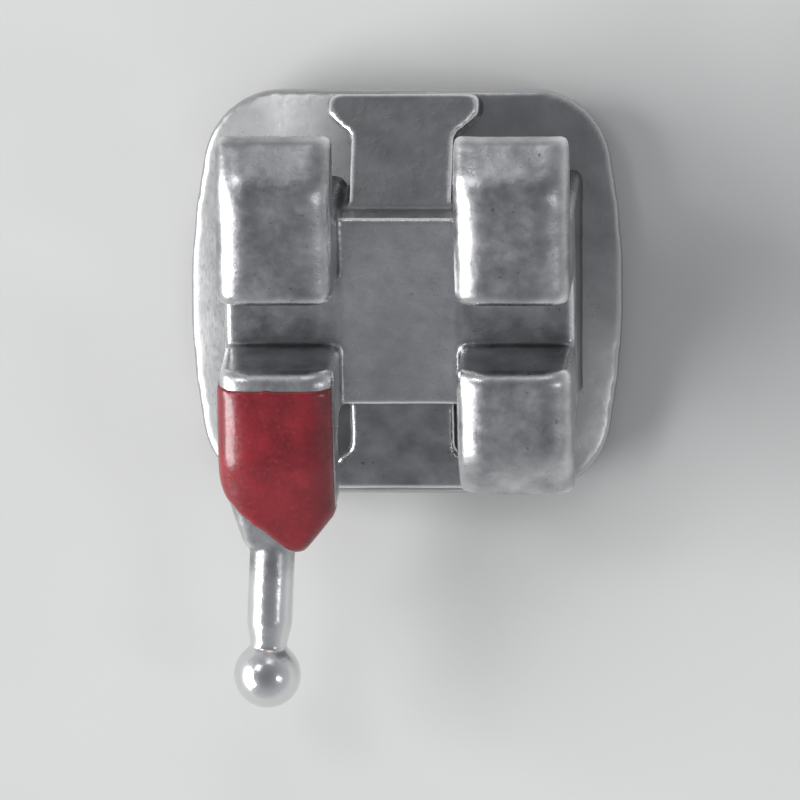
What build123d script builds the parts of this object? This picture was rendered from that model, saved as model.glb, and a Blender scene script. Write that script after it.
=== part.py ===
from build123d import *
from math import asin, cos, degrees, radians, sin, sqrt
import os

os.makedirs("parts", exist_ok=True)

# A lower right premolar twin bracket with a ball hook, in millimetres.
# The origin is the middle of the pad's bonding face. +X is mesial, +Y occlusal, +Z labial.

# Archwire slot, a standard size, and where the middle of its floor lies over the bonding face
slot_width = 0.559
slot_depth = 0.711
slot_mouth_radius = 0.11
slot_floor_y = -0.17
slot_floor_z = 0.88
torque = 17.0

# Columns and tie wings, measured from the middle of the slot floor
column_width = 0.95
column_gap = 1.0
stem_width = 1.75
wing_crown = 0.09
occlusal_undercut = 0.785
gingival_undercut = 0.555
wing_root_thickness = 0.48
wing_shoulder = 0.36
wing_droop = 0.28
wing_tip_face = 0.27
wing_tip_rake = 0.05
shoulder_radius = 0.42
wing_tip_radius = 0.12
undercut_radius = 0.2
edge_radius = 0.07

# Central keel rib, from the saddle to the pad's edges
keel_width = 0.85
keel_end_width = 1.25
keel_flare = 0.34
keel_margin = 0.04
keel_occlusal_step = 0.3
keel_gingival_step = 0.14
keel_edge_height = 0.1
keel_corner_radius = 0.08

# Ball hook on the disto-gingival wing, which narrows to a tongue
tongue_overhang = 1.025
tongue_tip_width = 0.44
tongue_thickness = 0.4
tongue_outer_taper = 0.66
tongue_inner_taper = 0.4
tongue_radius = 0.2
hook_x = -1.04
hook_z = 0.42
hook_root = 0.3
hook_length = 1.06
hook_out_angle = 7.0
hook_side_angle = 3.0
shank_diameter = 0.38
neck_diameter = 0.3
neck_length = 0.2
ball_diameter = 0.56

# Bonding pad, curved both ways like the crown
pad_width = 3.55
pad_height = 3.34
pad_edge_width = 3.1
pad_widest_y = -0.45
pad_corner_radius = 0.66
pad_radius_md = 4.6
pad_radius_og = 10.0
pad_contour_y = -0.13
foil_thickness = 0.13

# Screen of rolled wire under the foil, 50 wires to the inch. The upper wires are brazed to the foil.
wire_pitch = 0.508
wire_width = 0.16
wire_thickness = 0.12
wire_overlap = 0.03
screen_margin = 0.04

# Enamel on the hooked wing, from its slot edge to a slanting end across the tongue
enamel_thickness = 0.025
enamel_start = 0.42
enamel_distal_end = 1.37
enamel_mesial_end = 1.9
enamel_end_x = -0.87
enamel_bottom = 0.42

# How far cutting and trimmed shapes run past the piece
spare = 0.4

wing_top = slot_depth + wing_crown
column_inner = column_gap / 2
column_outer = column_inner + column_width
stem_side = stem_width / 2
saddle_side = stem_side - edge_radius
stem_foot = -2 * slot_floor_z
occlusal_reach = stem_side + occlusal_undercut
gingival_reach = stem_side + gingival_undercut
tongue_reach = stem_side + tongue_overhang
pad_edge = pad_height / 2
screen_depth = 2 * wire_thickness - wire_overlap
pad_top = screen_depth + foil_thickness

# The face plane lies on the slot floor. The side plane cuts the body from gingival to occlusal.
lean_y = Vector(0, cos(radians(torque)), sin(radians(torque)))
lean_z = Vector(0, -sin(radians(torque)), cos(radians(torque)))
slot_floor = Vector(0, slot_floor_y, slot_floor_z)
face_plane = Plane(origin=slot_floor, x_dir=(1, 0, 0), z_dir=lean_z)
side_plane = Plane(origin=slot_floor, x_dir=lean_y, z_dir=(1, 0, 0))
crown_axis = Axis((0, pad_contour_y, -pad_radius_og), (1, 0, 0))
md_axis = Axis((0, pad_contour_y, -pad_radius_md), (0, 1, 0))
under_pad = Plane.XY.offset(-pad_radius_md / 2)


def crown_form(height, mode=Mode.ADD):
    """The barrel form of the crown, raised by height, in the part that is being built."""
    radius = pad_radius_md + height
    half_angle = degrees(asin((pad_width / 2 + spare) / radius))
    with BuildSketch(Plane.XZ.offset(-pad_contour_y)) as section:
        with BuildLine():
            surface = CenterArc((0, -pad_radius_md), radius, 90 - half_angle, 2 * half_angle)
            left = (surface @ 1).X
            right = (surface @ 0).X
            Polyline(surface @ 1, (left, -pad_radius_og), (right, -pad_radius_og), surface @ 0)
        make_face()
    revolve(section.sketch, axis=crown_axis, mode=mode)


def pad_outline(margin=0.0):
    """The pad seen from the front, drawn margin inside its edge, on a plane under the pad."""
    half = pad_edge_width / 2
    side = pad_width / 2
    with BuildSketch(under_pad) as outline:
        with BuildLine():
            Line((-half, pad_edge), (half, pad_edge))
            ThreePointArc((half, pad_edge), (side, pad_widest_y), (half, -pad_edge))
            Line((half, -pad_edge), (-half, -pad_edge))
            ThreePointArc((-half, -pad_edge), (-side, pad_widest_y), (-half, pad_edge))
        make_face()
        fillet(outline.vertices(), pad_corner_radius)
        if margin:
            offset(amount=-margin)
    return outline.sketch


def wing_line(side, reach, shoulder, tip_z, tip_face):
    """One wing's outline in the side plane, from the slot floor over its tip and down the stem."""
    return FilletPolyline(
        (side * slot_width / 2, 0),
        (side * slot_width / 2, wing_top),
        (side * shoulder, wing_top),
        (side * reach, tip_z),
        (side * (reach - wing_tip_rake), tip_z - tip_face),
        (side * stem_side, wing_top - wing_root_thickness),
        (side * stem_side, stem_foot),
        radius=[slot_mouth_radius, shoulder_radius, wing_tip_radius, wing_tip_radius, undercut_radius],
    )


def column_profile(hooked=False, grow=0.0):
    """A column cut from gingival to occlusal, drawn grow outside its surface."""
    occlusal_shoulder = occlusal_reach - wing_shoulder
    gingival_shoulder = gingival_reach - wing_shoulder
    tip_z = wing_top - wing_droop
    with BuildSketch() as profile:
        with BuildLine():
            occlusal = wing_line(1, occlusal_reach, occlusal_shoulder, tip_z, wing_tip_face)
            if hooked:
                tongue_top = hook_z + tongue_thickness / 2
                gingival = wing_line(-1, tongue_reach, gingival_shoulder, tongue_top, tongue_thickness)
            else:
                gingival = wing_line(-1, gingival_reach, gingival_shoulder, tip_z, wing_tip_face)
            Line(occlusal @ 0, gingival @ 0)
            Line(occlusal @ 1, gingival @ 1)
        make_face()
        if grow:
            offset(amount=grow)
    return profile.sketch


def rim_edges(column):
    """The edges round a column's flat sides, without its foot and the seams where a tongue narrows."""
    rims = []
    for edge in column.faces().filter_by(Axis.X).edges():
        from_floor = edge.center() - slot_floor
        foot = from_floor.dot(lean_z) < stem_foot / 2
        upright = abs(edge.tangent_at(0.5).dot(lean_z)) > 0.999
        seam = upright and abs(from_floor.dot(lean_y)) > stem_side + undercut_radius / 2
        if not foot and not seam:
            rims.append(edge)
    return rims


def hooked_column(grow=0.0):
    """The distal column, whose gingival wing narrows to a tongue, drawn grow outside its surface."""
    inner = -column_inner + grow
    outer = -column_outer - grow
    tip = -tongue_reach - grow
    tip_half = tongue_tip_width / 2 + grow
    tip_radius = wing_tip_radius + grow
    beyond = occlusal_reach + spare
    with BuildPart() as column:
        with BuildSketch(side_plane.offset(outer)):
            add(column_profile(hooked=True, grow=grow))
        extrude(amount=inner - outer)
        with BuildSketch(face_plane.offset(stem_foot - spare)):
            with BuildLine():
                sides = FilletPolyline(
                    (outer, beyond),
                    (outer, -tongue_reach + tongue_outer_taper),
                    (hook_x - tip_half, tip),
                    (hook_x + tip_half, tip),
                    (inner, -tongue_reach + tongue_inner_taper),
                    (inner, beyond),
                    radius=[tongue_radius, tip_radius, tip_radius, tongue_radius],
                )
                Line(sides @ 1, sides @ 0)
            make_face()
        extrude(amount=wing_top - stem_foot + 2 * spare, mode=Mode.INTERSECT)
        fillet(rim_edges(column), edge_radius + grow)
    return column.part


def ball_hook():
    """The shank, its neck and the ball, turned about one axis."""
    out = radians(hook_out_angle)
    aside = radians(hook_side_angle)
    root = face_plane.from_local_coords((hook_x, -tongue_reach + hook_root, hook_z))
    direction = lean_z * sin(out) - lean_y * (cos(out) * cos(aside)) - Vector(sin(aside), 0, 0)
    ball = ball_diameter / 2
    neck = neck_diameter / 2
    shank = shank_diameter / 2
    centre = hook_root + hook_length
    ball_start = centre - sqrt(ball**2 - neck**2)
    with BuildPart() as hook:
        with BuildSketch(Plane(origin=root, x_dir=direction, z_dir=direction.cross(lean_z))):
            with BuildLine():
                Polyline((centre + ball, 0), (0, 0), (0, shank), (ball_start - neck_length, shank))
                Line((ball_start - neck_length, shank), (ball_start, neck))
                ThreePointArc((ball_start, neck), (centre, ball), (centre + ball, 0))
            make_face()
        revolve(axis=Axis(root, direction))
    return hook.part


def wire_places(reach):
    """The places of parallel wires, evenly about the middle, as far out as reach."""
    count = int(2 * reach / wire_pitch) + 1
    return [(number - (count - 1) / 2) * wire_pitch for number in range(count)]


# Foil pad
with BuildPart() as pad_foil:
    crown_form(pad_top)
    crown_form(screen_depth, mode=Mode.SUBTRACT)
    extrude(pad_outline(), amount=pad_radius_md, mode=Mode.INTERSECT)

# Mesial column, whose two wings are plain
with BuildPart() as mesial_column:
    with BuildSketch(side_plane.offset(column_inner)):
        add(column_profile())
    extrude(amount=column_width)
    fillet(rim_edges(mesial_column), edge_radius)

# Keel rib, cut to its slopes from the side and to its flared ends from the front
keel_end_z = pad_top - pad_edge**2 / (2 * pad_radius_og) + keel_edge_height
occlusal_root = side_plane.from_local_coords((saddle_side, -keel_occlusal_step, 0))
gingival_root = side_plane.from_local_coords((-saddle_side, -keel_gingival_step, 0))
with BuildPart() as keel:
    with BuildSketch(Plane.YZ):
        with BuildLine():
            Polyline(
                (pad_edge, under_pad.origin.Z),
                (pad_edge, keel_end_z),
                (occlusal_root.Y, occlusal_root.Z),
                (gingival_root.Y, gingival_root.Z),
                (-pad_edge, keel_end_z),
                (-pad_edge, under_pad.origin.Z),
                close=True,
            )
        make_face()
    extrude(amount=keel_end_width, both=True)
    with BuildSketch(under_pad):
        with BuildLine():
            end = pad_edge - keel_margin
            FilletPolyline(
                (0, end),
                (keel_end_width / 2, end),
                (keel_end_width / 2, end - keel_flare / 2),
                (keel_width / 2, end - keel_flare),
                (keel_width / 2, 0),
                radius=keel_corner_radius,
            )
            mirror(about=Plane.YZ)
            mirror(about=Plane.XZ)
        make_face()
    extrude(amount=pad_radius_md, mode=Mode.INTERSECT)

# Bracket body, cast in one with its hook. The saddle ends where the columns' upright edges start to round,
# and runs on into both columns.
with BuildPart() as bracket_body:
    saddle_lap = 1.1 * edge_radius
    with BuildSketch(side_plane.offset(-column_inner - saddle_lap)):
        with Locations((0, stem_foot / 2)):
            Rectangle(2 * saddle_side, -stem_foot)
    extrude(amount=column_gap + 2 * saddle_lap)
    add(mesial_column.part)
    add(hooked_column())
    add(ball_hook())
    add(keel.part)
    crown_form(pad_top, mode=Mode.SUBTRACT)

# Upper wires of the screen, with a flat where each is brazed to the foil
with BuildPart() as mesiodistal_wire:
    reach = asin((pad_width / 2 + spare / 2) / pad_radius_md)
    start = Plane(origin=md_axis.position, x_dir=(0, 1, 0), z_dir=(cos(reach), 0, sin(reach)))
    with BuildSketch(start):
        with Locations((0, pad_radius_md + screen_depth)):
            Rectangle(wire_width, wire_thickness, align=(Align.CENTER, Align.MAX))
    revolve(axis=md_axis, revolution_arc=degrees(2 * reach))

with BuildPart() as upper_wires:
    for y in wire_places(pad_edge - screen_margin - wire_width):
        add(mesiodistal_wire.part.rotate(crown_axis, degrees((pad_contour_y - y) / pad_radius_og)))
    extrude(pad_outline(screen_margin), amount=pad_radius_md, mode=Mode.INTERSECT)

# Lower wires of the screen
with BuildPart() as lower_wires:
    reach = asin((pad_edge + abs(pad_contour_y) + spare / 2) / pad_radius_og)
    start = Plane(origin=crown_axis.position, x_dir=(1, 0, 0), z_dir=(0, -cos(reach), sin(reach)))
    with BuildSketch(start):
        for x in wire_places(pad_width / 2 - screen_margin - wire_width):
            turn = x / pad_radius_md
            place = (pad_radius_md * sin(turn), pad_radius_og - pad_radius_md + pad_radius_md * cos(turn))
            with Locations(Location(place, -degrees(turn))):
                Rectangle(wire_width, wire_thickness, align=(Align.CENTER, Align.MIN))
    revolve(axis=crown_axis, revolution_arc=degrees(2 * reach))
    extrude(pad_outline(screen_margin), amount=pad_radius_md, mode=Mode.INTERSECT)

with BuildPart() as bonding_mesh:
    add(lower_wires.part)
    add(upper_wires.part)

# Colour mark, a coat of enamel over the front of the hooked wing. It keeps off the saddle's side of the column.
with BuildPart() as colour_mark:
    add(hooked_column(enamel_thickness))
    with BuildSketch(face_plane.offset(enamel_bottom)):
        with BuildLine():
            Polyline(
                (-column_outer - spare, -enamel_start),
                (-column_inner, -enamel_start),
                (-column_inner, -enamel_mesial_end),
                (enamel_end_x, -enamel_mesial_end),
                (-column_outer, -enamel_distal_end),
                (-column_outer - spare, -enamel_distal_end),
                close=True,
            )
        make_face()
    extrude(amount=wing_top, mode=Mode.INTERSECT)
    add(bracket_body.part, mode=Mode.SUBTRACT)

bracket_body.part.label = "bracket_body"
pad_foil.part.label = "pad_foil"
bonding_mesh.part.label = "bonding_mesh"
colour_mark.part.label = "colour_mark"
export_step(bracket_body.part, "parts/bracket_body.step")
export_step(pad_foil.part, "parts/pad_foil.step")
export_step(bonding_mesh.part, "parts/bonding_mesh.step")
export_step(colour_mark.part, "parts/colour_mark.step")
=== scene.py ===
import math

import bmesh
import bpy
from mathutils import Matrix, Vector, noise
from mathutils.bvhtree import BVHTree


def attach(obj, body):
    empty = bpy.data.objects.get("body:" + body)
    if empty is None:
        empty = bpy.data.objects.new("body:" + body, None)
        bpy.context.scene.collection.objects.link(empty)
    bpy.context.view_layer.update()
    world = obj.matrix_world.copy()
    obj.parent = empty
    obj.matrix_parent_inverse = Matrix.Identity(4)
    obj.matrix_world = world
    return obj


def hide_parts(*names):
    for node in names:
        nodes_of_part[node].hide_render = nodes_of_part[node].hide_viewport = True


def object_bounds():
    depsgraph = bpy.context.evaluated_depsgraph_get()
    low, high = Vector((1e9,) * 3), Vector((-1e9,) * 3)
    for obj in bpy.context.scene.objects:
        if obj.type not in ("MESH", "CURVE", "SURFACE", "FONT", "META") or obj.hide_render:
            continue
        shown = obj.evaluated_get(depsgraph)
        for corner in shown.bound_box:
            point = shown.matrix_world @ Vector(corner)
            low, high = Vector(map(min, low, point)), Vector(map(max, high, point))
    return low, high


# A small orthodontic bracket, about 5 mm long. Lengths are in millimetres, and the finished pieces in metres.
MM = 0.001

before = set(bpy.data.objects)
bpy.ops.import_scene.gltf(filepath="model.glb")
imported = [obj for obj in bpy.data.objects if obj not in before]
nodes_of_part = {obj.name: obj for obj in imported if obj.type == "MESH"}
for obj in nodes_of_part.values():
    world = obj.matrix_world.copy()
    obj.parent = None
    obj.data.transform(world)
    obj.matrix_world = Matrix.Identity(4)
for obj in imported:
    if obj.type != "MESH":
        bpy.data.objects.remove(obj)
cad_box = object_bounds()

# Sizes repeated from the part. The slot, the wings and the hook lie in a frame that leans by the torque.
torque = math.radians(17)
slot_floor = Vector((0, -0.17, 0.88))
lean_y = Vector((0, math.cos(torque), math.sin(torque)))
lean_z = Vector((0, -math.sin(torque), math.cos(torque)))
slot_half = 0.2795
slot_depth = 0.711
column_inner = 0.5
column_outer = 1.45
wing_top = 0.80
hook_start = -1.95
pad_radius_md = 4.6
pad_radius_og = 10.0
pad_contour_y = -0.13
screen_depth = 0.21
pad_top = 0.34


# Materials. Their helpers add nodes to a tree and give back an output.

def new_material(name):
    """A node material, with its tree and its Principled shader."""
    material = bpy.data.materials.new(name)
    material.use_nodes = True
    return material, material.node_tree, material.node_tree.nodes["Principled BSDF"]


def object_place(tree, turn=0.0):
    """The object's own coordinates, turned about X."""
    place = tree.nodes.new("ShaderNodeTexCoord")
    mapping = tree.nodes.new("ShaderNodeMapping")
    mapping.inputs["Rotation"].default_value = (turn, 0, 0)
    tree.links.new(place.outputs["Object"], mapping.inputs["Vector"])
    return mapping.outputs["Vector"]


def cloud(tree, place, size, detail=3.0, stretch=(1, 1, 1)):
    """A noise whose features are about size millimetres across, longer along an axis by its stretch."""
    mapping = tree.nodes.new("ShaderNodeMapping")
    mapping.inputs["Scale"].default_value = [1 / (size * MM * factor) for factor in stretch]
    tree.links.new(place, mapping.inputs["Vector"])
    texture = tree.nodes.new("ShaderNodeTexNoise")
    texture.inputs["Scale"].default_value = 1.0
    texture.inputs["Detail"].default_value = detail
    texture.inputs["Roughness"].default_value = 0.55
    tree.links.new(mapping.outputs["Vector"], texture.inputs["Vector"])
    return texture.outputs["Fac"]


def spread(tree, factor, low, high, start=0.3, end=0.7):
    """What the factor has from start to end, spread from low to high."""
    span = tree.nodes.new("ShaderNodeMapRange")
    span.inputs["From Min"].default_value = start
    span.inputs["From Max"].default_value = end
    span.inputs["To Min"].default_value = low
    span.inputs["To Max"].default_value = high
    tree.links.new(factor, span.inputs["Value"])
    return span.outputs["Result"]


def blend(tree, factor, first, second):
    """A colour that goes from first to second with the factor. Either may be a colour or an output."""
    mix = tree.nodes.new("ShaderNodeMix")
    mix.data_type = "RGBA"
    for name, value in (("A", first), ("B", second)):
        if isinstance(value, tuple):
            mix.inputs[name].default_value = (*value, 1)
        else:
            tree.links.new(value, mix.inputs[name])
    tree.links.new(factor, mix.inputs["Factor"])
    return mix.outputs["Result"]


def mottled(tree, noise_output, low, high):
    """A colour that wanders between low and high with a noise."""
    return blend(tree, spread(tree, noise_output, 0, 1), low, high)


def bumps(tree, shader, heights):
    """Bumps one on another, each given as its height and its depth in millimetres."""
    normal = None
    for height, depth in heights:
        node = tree.nodes.new("ShaderNodeBump")
        node.inputs["Strength"].default_value = 1.0
        node.inputs["Distance"].default_value = depth * MM
        tree.links.new(height, node.inputs["Height"])
        if normal:
            tree.links.new(normal, node.inputs["Normal"])
        normal = node.outputs["Normal"]
    tree.links.new(normal, shader.inputs["Normal"])


def mesh_layer(tree, name):
    """A value from 0 to 1 that edge_layers left on the mesh."""
    attribute = tree.nodes.new("ShaderNodeAttribute")
    attribute.attribute_name = name
    return attribute.outputs["Fac"]


def cast_steel():
    """Cast and tumbled steel: satin and mottled, with fine grain, pores, polished edges brightened further
    with painted sheen, and painted shade in corners and recesses with a braze stain at the foot.
    """
    dark_flat, pale_flat = (0.30, 0.305, 0.315), (0.60, 0.605, 0.615)
    # corner is a painted shade colour for corners and recesses; edge is the colour of polished edges with
    # painted sheen.
    pore, corner, edge = (0.24, 0.24, 0.25), (0.15, 0.15, 0.155), (0.80, 0.80, 0.805)
    material, tree, shader = new_material("cast_steel")
    place = object_place(tree)
    mottle = cloud(tree, place, 0.3, detail=4)
    ripple = cloud(tree, place, 0.09, detail=2)
    grain = cloud(tree, place, 0.022, detail=4)
    pores = cloud(tree, place, 0.05, detail=1)
    # edges carries edge polish and painted sheen.
    edges = mesh_layer(tree, "edge_wear_and_sheen")
    # corners carries painted shade in corners and recesses, and the braze stain at the foot.
    corners = mesh_layer(tree, "corner_shade_and_braze_stain")
    flats = mottled(tree, mottle, dark_flat, pale_flat)
    dots = blend(tree, spread(tree, pores, 0, 1, 0.73, 0.79), flats, pore)
    shaded_and_stained = blend(tree, corners, dots, corner)
    tree.links.new(blend(tree, edges, shaded_and_stained, edge), shader.inputs["Base Color"])
    product = tree.nodes.new("ShaderNodeMath")
    product.operation = "MULTIPLY"
    tree.links.new(spread(tree, ripple, 0.27, 0.39), product.inputs[0])
    tree.links.new(spread(tree, edges, 1.0, 0.62, 0.0, 1.0), product.inputs[1])
    tree.links.new(product.outputs["Value"], shader.inputs["Roughness"])
    shader.inputs["Metallic"].default_value = 1.0
    bumps(tree, shader, [(ripple, 0.0032), (grain, 0.0009)])
    return material


def milled_steel():
    """The milled archwire slot: fine lines along the slot."""
    material, tree, shader = new_material("milled_steel")
    place = object_place(tree, -torque)
    lines = cloud(tree, place, 0.02, detail=3, stretch=(40, 1, 1))
    mottle = cloud(tree, place, 0.2)
    colour = mottled(tree, mottle, (0.56, 0.56, 0.565), (0.66, 0.66, 0.665))
    tree.links.new(colour, shader.inputs["Base Color"])
    tree.links.new(spread(tree, lines, 0.22, 0.36), shader.inputs["Roughness"])
    shader.inputs["Metallic"].default_value = 1.0
    bumps(tree, shader, [(lines, 0.0016)])
    return material


def plain_steel(name, low, high, rough, roll=1.0, rim=None):
    """Dull steel, with rolling marks along Y where roll is above 1, and a brighter rim on its edges, partly
    polish and partly painted highlight, where one is given.
    """
    material, tree, shader = new_material(name)
    place = object_place(tree)
    mottle = cloud(tree, place, 0.35, detail=4)
    grain = cloud(tree, place, 0.018, detail=4, stretch=(1, roll, 1))
    colour = mottled(tree, mottle, low, high)
    # The rim colour brightens the edges as polish and a painted rim highlight.
    if rim:
        colour = blend(tree, mesh_layer(tree, "edge_wear_and_sheen"), colour, rim)
    tree.links.new(colour, shader.inputs["Base Color"])
    tree.links.new(spread(tree, grain, rough - 0.03, rough + 0.05), shader.inputs["Roughness"])
    shader.inputs["Metallic"].default_value = 1.0
    bumps(tree, shader, [(mottle, 0.002), (grain, 0.00012)])
    return material


def red_enamel():
    """Deep red enamel, glossy, brushed on a little unevenly."""
    dark_red, mid_red, pale_fleck = (0.14, 0.006, 0.011), (0.27, 0.012, 0.021), (0.33, 0.022, 0.034)
    material, tree, shader = new_material("red_enamel")
    place = object_place(tree)
    mottle = cloud(tree, place, 0.28, detail=3)
    fleck = cloud(tree, place, 0.035, detail=4)
    deep = mottled(tree, mottle, dark_red, mid_red)
    colour = blend(tree, spread(tree, fleck, 0, 1, 0.62, 0.75), deep, pale_fleck)
    tree.links.new(colour, shader.inputs["Base Color"])
    tree.links.new(spread(tree, fleck, 0.26, 0.40), shader.inputs["Roughness"])
    shader.inputs["Coat Weight"].default_value = 0.5
    shader.inputs["Coat Roughness"].default_value = 0.14
    bumps(tree, shader, [(mottle, 0.010), (fleck, 0.0016)])
    return material


# Pieces. They are made in millimetres.

def finish_piece(name, mesh, node, materials):
    """A piece that stands for a node of the part, smooth, with its materials."""
    piece = bpy.data.objects.new(name, mesh)
    bpy.context.scene.collection.objects.link(piece)
    mesh.materials.clear()
    for material in materials:
        mesh.materials.append(material)
    mesh.polygons.foreach_set("use_smooth", [True] * len(mesh.polygons))
    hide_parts(node)
    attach(piece, "root")
    return piece


def waver(place, size, seed):
    """A smooth noise from about -1 to 1, with features about size millimetres across."""
    return noise.noise(place / size + Vector((seed, 2 * seed, 3 * seed)))


def smooth_step(share):
    """From 0 to 1 with soft ends."""
    share = min(max(share, 0), 1)
    return share * share * (3 - 2 * share)


def slot_frame(place):
    """Where a place lies from the slot floor: across, towards occlusal, and up."""
    away = place - slot_floor
    return away.x, away.dot(lean_y), away.dot(lean_z)


def crown_height(place):
    """How high a place is above the bonding face, and the crown's outward direction there."""
    arm_y = place.y - pad_contour_y
    arm_z = place.z + pad_radius_og
    arm = math.hypot(arm_y, arm_z)
    reach = arm - pad_radius_og + pad_radius_md
    radius = math.hypot(place.x, reach)
    out = Vector((place.x, reach * arm_y / arm, reach * arm_z / arm)) / radius
    return radius - pad_radius_md, out


def on_crown(across, along, height):
    """A place on the crown's barrel form, height above the bonding face, and its outward direction."""
    turn = across / pad_radius_md
    tip = (along - pad_contour_y) / pad_radius_og
    radius = pad_radius_md + height
    arm = pad_radius_og - pad_radius_md + radius * math.cos(turn)
    place_y = pad_contour_y + arm * math.sin(tip)
    place_z = arm * math.cos(tip) - pad_radius_og
    place = Vector((radius * math.sin(turn), place_y, place_z))
    out = Vector((math.sin(turn), math.cos(turn) * math.sin(tip), math.cos(turn) * math.cos(tip)))
    return place, out


def remeshed(source, voxel, rounds):
    """A fine copy of a part's mesh in millimetres, as even small faces, with its edges softened."""
    mesh = source.data.copy()
    mesh.transform(source.matrix_world)
    for vertex in mesh.vertices:
        vertex.co = vertex.co / MM
    scratch = bpy.data.objects.new("scratch", mesh)
    bpy.context.scene.collection.objects.link(scratch)
    even = scratch.modifiers.new("even", "REMESH")
    even.mode = "VOXEL"
    even.voxel_size = voxel
    soft = scratch.modifiers.new("soft", "SMOOTH")
    soft.factor = 0.5
    soft.iterations = rounds
    graph = bpy.context.evaluated_depsgraph_get()
    fine = bpy.data.meshes.new_from_object(scratch.evaluated_get(graph))
    bpy.data.objects.remove(scratch)
    bpy.data.meshes.remove(mesh)
    return fine


def true_curve(place):
    """A place on one of the foil's faces, brought from the part's facets onto the true curve."""
    facet_error = 0.012
    height, out = crown_height(place)
    for face in (screen_depth, pad_top):
        if abs(height - face) < facet_error:
            return place + out * (face - height)
    return place


def settle(mesh, source, rounds):
    """Every place goes back onto the part's own surface, and then the edges are softened a little."""
    farthest = 0.03
    tree = BVHTree.FromObject(source, bpy.context.evaluated_depsgraph_get())
    for vertex in mesh.vertices:
        place = tree.find_nearest(vertex.co * MM)[0] / MM
        if (place - vertex.co).length < farthest:
            vertex.co = true_curve(place)
    shape = bmesh.new()
    shape.from_mesh(mesh)
    for number in range(rounds):
        bmesh.ops.smooth_vert(
            shape, verts=shape.verts, factor=0.5, use_axis_x=True, use_axis_y=True, use_axis_z=True
        )
    shape.to_mesh(mesh)
    shape.free()
    mesh.update()


def front_height(across, along):
    """How high the front of a wing is over the slot floor. It droops towards the wing's tip."""
    if along > 0:
        start, run, drop = 1.30, 0.36, 0.28
    elif across < 0:
        start, run, drop = 1.07, 0.83, 0.18
    else:
        start, run, drop = 1.07, 0.36, 0.28
    return wing_top - drop * min(max((abs(along) - start) / run, 0), 1)


def crown_wings(mesh):
    """The tie wings' fronts fall away softly towards their mesial and distal edges."""
    width = 0.27
    fall = 0.095
    fade_depth = 0.28
    margin = 0.05
    for vertex in mesh.vertices:
        across, along, up = slot_frame(vertex.co)
        from_edge = min(abs(across) - column_inner, column_outer - abs(across))
        on_wing = abs(along) > slot_half - margin and along > hook_start
        if -margin < from_edge < width and on_wing:
            below = front_height(across, along) - up
            weight = smooth_step(1 - below / fade_depth)
            vertex.co = vertex.co - lean_z * (fall * weight * (1 - max(from_edge, 0) / width) ** 2)
    mesh.update()


def braze_fillet(mesh):
    """The body's foot flares where it is brazed onto the foil, and its rim runs on into the foil."""
    rise = 0.09
    flare = 0.06
    sink = 0.05
    least_aside = 0.1
    foot_end = 1.62
    normals = [vertex.normal.copy() for vertex in mesh.vertices]
    for vertex, normal in zip(mesh.vertices, normals):
        height, out = crown_height(vertex.co)
        above = height - pad_top
        aside = normal - out * normal.dot(out)
        if -0.03 < above < rise and aside.length > least_aside:
            share = (1 - max(above, 0) / rise) ** 2 * smooth_step((aside.length - least_aside) / 0.3)
            share *= smooth_step((foot_end - abs(vertex.co.y)) / 0.08)
            vertex.co = vertex.co + aside.normalized() * (flare * share) - out * (sink * share)
    mesh.update()


def cast_surface(mesh):
    """The slight unevenness that casting and tumbling leave. The milled slot stays true."""
    hook_share = 0.35
    broad, fine = 0.0036, 0.0012
    inset = 0.002
    normals = [vertex.normal.copy() for vertex in mesh.vertices]
    for vertex, normal in zip(mesh.vertices, normals):
        across, along, up = slot_frame(vertex.co)
        in_slot = abs(along) < slot_half + 0.02 and -0.03 < up < slot_depth and abs(across) > column_inner
        if not in_slot:
            share = hook_share if along < hook_start else 1
            swell = broad * waver(vertex.co, 0.42, 1.7) + fine * waver(vertex.co, 0.11, 5.3)
            vertex.co = vertex.co + normal * (share * swell - inset)
    mesh.update()


def milled_faces(mesh):
    """The slot's floor and walls get the second material."""
    near = 0.03
    facing = 0.9
    wall_top = slot_depth - 0.1
    for face in mesh.polygons:
        across, along, up = slot_frame(face.center)
        at_floor = abs(up) < near and abs(along) < slot_half
        at_wall = 0 < up < wall_top and abs(abs(along) - slot_half) < near
        on_floor = at_floor and face.normal.dot(lean_z) > facing
        on_wall = at_wall and abs(face.normal.dot(lean_y)) > facing
        if abs(across) > column_inner and (on_floor or on_wall):
            face.material_index = 1


def blurred(mesh, values, rounds):
    """The values of the mesh's vertices, each mixed with its neighbours' that many times."""
    for blur in range(rounds):
        total = list(values)
        count = [1] * len(values)
        for edge in mesh.edges:
            first, second = edge.vertices
            total[first] += values[second]
            total[second] += values[first]
            count[first] += 1
            count[second] += 1
        values = [value / number for value, number in zip(total, count)]
    return values


def mean_bend(mesh):
    """How far the surface falls away round each vertex: above zero on edges, below zero in corners."""
    bend = [0.0] * len(mesh.vertices)
    count = [0] * len(mesh.vertices)
    for edge in mesh.edges:
        first, second = (mesh.vertices[index] for index in edge.vertices)
        along = (second.co - first.co).normalized()
        bend[first.index] -= along.dot(first.normal)
        bend[second.index] += along.dot(second.normal)
        count[first.index] += 1
        count[second.index] += 1
    return [total / max(number, 1) for total, number in zip(bend, count)]


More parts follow.
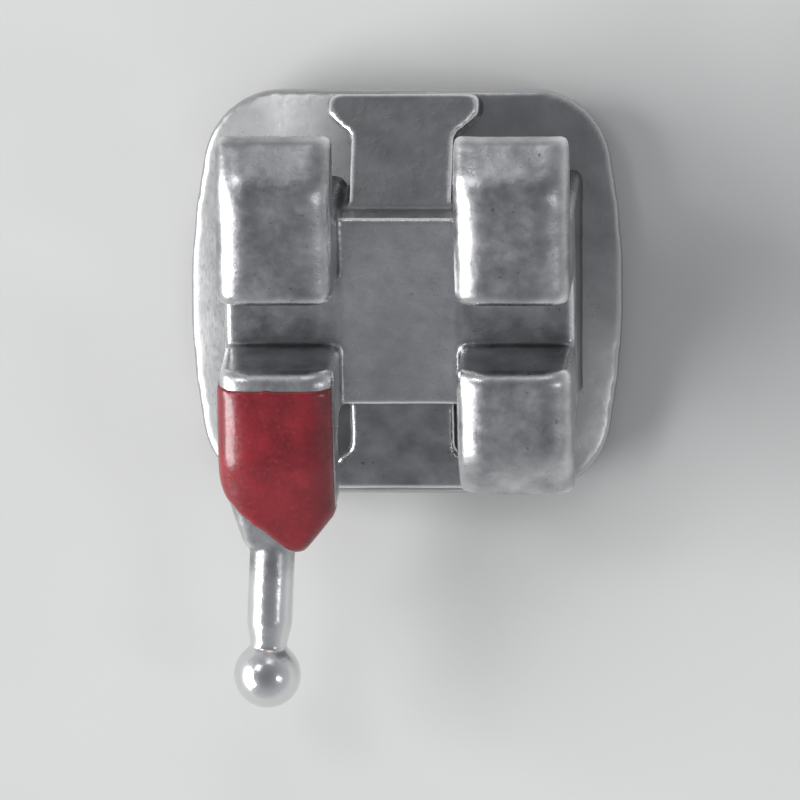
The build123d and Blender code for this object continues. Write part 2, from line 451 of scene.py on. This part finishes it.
def edge_layers(mesh, brazed=False):
    """Leaves on the mesh how much each place is a worn edge with painted sheen, and a corner or recess with
    painted shade or braze stain, from 0 to 1.
    """
    least_bend = 0.03
    bend_span = 0.05
    # The whole hook is brightened as a painted highlight.
    hook_sheen = 0.9
    saddle_wear = 0.4
    # Below the slot floor the body is darkened as painted shade.
    sunk_shade = 0.75
    braze_dirt = 0.5
    bend = blurred(mesh, mean_bend(mesh), 2)
    # Convex edges are brightened here as wear and painted sheen.
    wear_and_sheen = [smooth_step((value - least_bend) / bend_span) for value in bend]
    # Concave corners are darkened here as painted shade.
    shade_and_stain = blurred(mesh, [smooth_step((-value - least_bend) / bend_span) for value in bend], 4)
    for vertex in mesh.vertices:
        number = vertex.index
        across, along, up = slot_frame(vertex.co)
        on_hook = smooth_step((hook_start - along) / 0.2)
        between_columns = smooth_step((column_inner - abs(across)) / 0.06)
        on_saddle = between_columns * smooth_step((0.06 - abs(up)) / 0.03)
        wear_and_sheen[number] = max(wear_and_sheen[number], hook_sheen * on_hook, saddle_wear * on_saddle)
        # Painted shade: places below the slot floor, away from the hook, are darkened.
        sunk = smooth_step((-0.06 - up) / 0.22) * (1 - on_hook)
        shade_and_stain[number] = max(shade_and_stain[number], sunk_shade * sunk)
        if brazed:
            above = crown_height(vertex.co)[0] - pad_top
            wear_and_sheen[number] *= smooth_step((above - 0.03) / 0.06)
            shade_and_stain[number] = max(shade_and_stain[number], braze_dirt * smooth_step((0.08 - above) / 0.06))
    for name, values in (("edge_wear_and_sheen", wear_and_sheen), ("corner_shade_and_braze_stain", shade_and_stain)):
        layer = mesh.attributes.new(name, "FLOAT", "POINT")
        layer.data.foreach_set("value", values)


def enamel_depth(place):
    """How far inside the painted patch a place is. It is negative outside."""
    slot_side = -0.425
    skirt_up = 0.43
    tip_along = -1.90
    slant_across, slant_along = -1.35, -1.46
    side_gap = 0.022
    across, along, up = slot_frame(place)
    ragged = 0.022 * waver(place, 0.30, 3.1) + 0.012 * waver(place, 0.09, 7.7)
    from_slot = slot_side - along
    skirt = up - skirt_up
    slant = (across - slant_across) * 0.675 + (along - slant_along) * 0.738
    tip = along - tip_along
    saddle_side = (-column_inner - side_gap - across) * 1.5
    return min(min(from_slot, skirt, slant, tip) + ragged, saddle_side)


def enamel_slope(place, inside, normal):
    """How the depth inside the patch grows, per millimetre along the surface."""
    step = 0.004
    slope = Vector((
        enamel_depth(place + Vector((step, 0, 0))) - inside,
        enamel_depth(place + Vector((0, step, 0))) - inside,
        enamel_depth(place + Vector((0, 0, step))) - inside,
    )) / step
    return slope - normal * slope.dot(normal)


def enamel_mesh(body):
    """A thin coat on the hooked wing, thickest inside and thin at its uneven edge."""
    farthest_shift = 0.022
    edge_width = 0.07
    thin, thick, uneven = 0.003, 0.021, 0.004
    under = 0.004
    depth = {}
    for vertex in body.vertices:
        near_hooked_wing = vertex.co.x < -0.45 and vertex.co.y < -0.4
        if near_hooked_wing:
            depth[vertex.index] = enamel_depth(vertex.co)
    chosen = []
    for face in body.polygons:
        marks = [depth.get(index, -1) for index in face.vertices]
        if sum(marks) / len(marks) > 0 and min(marks) > -0.03:
            chosen.append(face)
    outer = {}
    inner = {}
    points = []
    for face in chosen:
        for index in face.vertices:
            if index in outer:
                continue
            inside = depth[index]
            place = body.vertices[index].co.copy()
            normal = body.vertices[index].normal
            if inside < 0:
                slope = enamel_slope(place, inside, normal)
                if slope.length > 0.5:
                    shift = min(-inside / slope.length, farthest_shift)
                    place = place + slope.normalized() * shift
                    inside = 0
            share = min(max(inside, 0) / edge_width, 1)
            share = math.sqrt(share * (2 - share))
            coat = thin + thick * share + uneven * share * waver(place, 0.25, 9.2)
            outer[index] = len(points)
            points.append(place + normal * coat)
            inner[index] = len(points)
            points.append(place - normal * under)
    faces = []
    sides = {}
    for face in chosen:
        ring = list(face.vertices)
        faces.append([outer[index] for index in ring])
        faces.append([inner[index] for index in reversed(ring)])
        for start, end in zip(ring, ring[1:] + ring[:1]):
            if (end, start) in sides:
                del sides[(end, start)]
            else:
                sides[(start, end)] = True
    for start, end in sides:
        faces.append([outer[end], outer[start], inner[start], inner[end]])
    mesh = bpy.data.meshes.new("enamel")
    mesh.from_pydata([point * MM for point in points], [], faces)
    mesh.update()
    return mesh


def wire_tube(points, outs, radius, sides, verts, faces):
    """One wire as a closed tube along its points, added to the lists of vertices and faces."""
    start = len(verts)
    last = len(points) - 1
    for number, (point, out) in enumerate(zip(points, outs)):
        ahead = (points[min(number + 1, last)] - points[max(number - 1, 0)]).normalized()
        aside = ahead.cross(out).normalized()
        up = aside.cross(ahead)
        for step in range(sides):
            angle = 2 * math.pi * step / sides
            verts.append(point + aside * (radius * math.cos(angle)) + up * (radius * math.sin(angle)))
    for number in range(last):
        for step in range(sides):
            here = start + number * sides + step
            there = start + number * sides + (step + 1) % sides
            faces.append([here, here + sides, there + sides, there])
    faces.append([start + step for step in range(sides)])
    faces.append([start + last * sides + step for step in reversed(range(sides))])


def woven_screen(foil):
    """Wire cloth, each wire over and under the next, cut to the foil's outline and pressed to its curve."""
    pitch = 0.245
    wire = 0.1
    steps = 8
    sides = 8
    wires_each_side = 8
    reach = 9
    inset = 1.028
    tree = BVHTree.FromObject(foil, bpy.context.evaluated_depsgraph_get())

    def covered(across, along):
        place, out = on_crown(across, along, 0)
        return tree.ray_cast(place * MM, out, 1 * MM)[0] is not None

    verts = []
    faces = []
    for lengthwise in (True, False):
        for number in range(-wires_each_side, wires_each_side):
            place_across = (number + 0.5) * pitch
            points = []
            outs = []
            for step in range(-reach * steps, reach * steps + 1):
                run = step * pitch / steps
                rise = wire / 2 * math.sin(math.pi * (step / steps + number))
                if lengthwise:
                    across, along = place_across, run
                else:
                    across, along = run, place_across
                    rise = -rise
                if covered(across * inset, along * inset):
                    place, out = on_crown(across, along, screen_depth / 2 + rise)
                    points.append(place)
                    outs.append(out)
            if len(points) > 2 * steps:
                wire_tube(points, outs, wire / 2, sides, verts, faces)
    mesh = bpy.data.meshes.new("screen")
    mesh.from_pydata([vert * MM for vert in verts], [], faces)
    mesh.update()
    return mesh


def in_metres(mesh):
    """A finished mesh goes from millimetres to metres."""
    for vertex in mesh.vertices:
        vertex.co = vertex.co * MM
    mesh.update()


body_mesh = remeshed(nodes_of_part["bracket_body"], 0.022, 4)
settle(body_mesh, nodes_of_part["bracket_body"], 5)
crown_wings(body_mesh)
braze_fillet(body_mesh)
cast_surface(body_mesh)
coat_mesh = enamel_mesh(body_mesh)
milled_faces(body_mesh)
edge_layers(body_mesh, brazed=True)
in_metres(body_mesh)
finish_piece("cast_body", body_mesh, "bracket_body", [cast_steel(), milled_steel()])
finish_piece("enamel_coat", coat_mesh, "colour_mark", [red_enamel()])

wire_steel = plain_steel("wire_steel", (0.42, 0.42, 0.43), (0.52, 0.52, 0.525), rough=0.38)
screen_mesh = woven_screen(nodes_of_part["pad_foil"])
finish_piece("woven_screen", screen_mesh, "bonding_mesh", [wire_steel])

foil_mesh = remeshed(nodes_of_part["pad_foil"], 0.03, 2)
settle(foil_mesh, nodes_of_part["pad_foil"], 4)
edge_layers(foil_mesh)
in_metres(foil_mesh)
# The foil's rim is brightened as polish and a painted rim highlight.
foil_steel = plain_steel(
    "foil_steel", (0.27, 0.275, 0.28), (0.37, 0.37, 0.375), rough=0.30, roll=3.0, rim=(0.52, 0.52, 0.525)
)
finish_piece("pad_sheet", foil_mesh, "pad_foil", [foil_steel])


# Floor, light and camera

middle = (Vector(cad_box[0]) + Vector(cad_box[1])) / 2
floor_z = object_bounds()[0][2]


def pale_floor():
    """A plain pale floor, big enough to fill every view."""
    half = 250 * MM
    corners = []
    for side_x, side_y in ((-1, -1), (1, -1), (1, 1), (-1, 1)):
        corners.append((middle.x + side_x * half, middle.y + side_y * half, floor_z))
    mesh = bpy.data.meshes.new("floor")
    mesh.from_pydata(corners, [], [[0, 1, 2, 3]])
    floor = bpy.data.objects.new("floor", mesh)
    bpy.context.scene.collection.objects.link(floor)
    material, tree, shader = new_material("pale_floor")
    shade = cloud(tree, object_place(tree), 4)
    colour = mottled(tree, shade, (0.70, 0.70, 0.69), (0.73, 0.73, 0.72))
    tree.links.new(colour, shader.inputs["Base Color"])
    shader.inputs["Roughness"].default_value = 0.8
    shader.inputs["Specular IOR Level"].default_value = 0.0
    mesh.materials.append(material)


def soft_box(name, direction, distance, width, height, power):
    """A soft lamp that looks at the middle of the bracket, with its sizes in millimetres."""
    data = bpy.data.lights.new(name, "AREA")
    data.shape = "RECTANGLE"
    data.size = width * MM
    data.size_y = height * MM
    data.energy = power
    lamp = bpy.data.objects.new(name, data)
    direction = Vector(direction).normalized()
    lamp.location = middle + direction * distance * MM
    lamp.rotation_euler = (-direction).to_track_quat("-Z", "Y").to_euler()
    bpy.context.scene.collection.objects.link(lamp)


def long_lens_camera(tilt_x, tilt_y):
    """The photograph's view: almost straight down on the bracket's front, through a long lens."""
    distance = 150
    data = bpy.data.cameras.new("camera")
    data.lens = 820
    data.sensor_width = 36
    data.clip_start = 1 * MM
    data.clip_end = 2
    camera = bpy.data.objects.new("camera", data)
    direction = Vector((math.tan(math.radians(tilt_x)), math.tan(math.radians(tilt_y)), 1)).normalized()
    camera.location = middle + direction * distance * MM
    camera.rotation_euler = (-math.radians(tilt_y), math.radians(tilt_x), 0)
    bpy.context.scene.collection.objects.link(camera)
    bpy.context.scene.camera = camera


def studio_world():
    """Soft light from all round, brighter near the horizon."""
    horizon, zenith = (0.60, 0.61, 0.63), (0.20, 0.205, 0.22)
    world = bpy.data.worlds.new("studio")
    bpy.context.scene.world = world
    world.use_nodes = True
    tree = world.node_tree
    place = tree.nodes.new("ShaderNodeTexCoord")
    split = tree.nodes.new("ShaderNodeSeparateXYZ")
    tree.links.new(place.outputs["Generated"], split.inputs["Vector"])
    height = spread(tree, split.outputs["Z"], 0, 1, 0.0, 1.0)
    background = tree.nodes["Background"]
    tree.links.new(blend(tree, height, horizon, zenith), background.inputs["Color"])
    background.inputs["Strength"].default_value = 1.0


pale_floor()
soft_box("key", (-0.90, -0.16, 0.40), distance=500, width=500, height=227, power=3.75)
soft_box("kicker", (0.12, 0.70, 0.70), distance=120, width=46, height=46, power=0.006)
soft_box("window", (-0.46, 0.38, 0.80), distance=120, width=30, height=26, power=0.011)
soft_box("rim", (0.68, -0.24, 0.69), distance=120, width=18, height=30, power=0.008)
long_lens_camera(4, 1)
studio_world()
bpy.context.scene.view_settings.view_transform = "Standard"
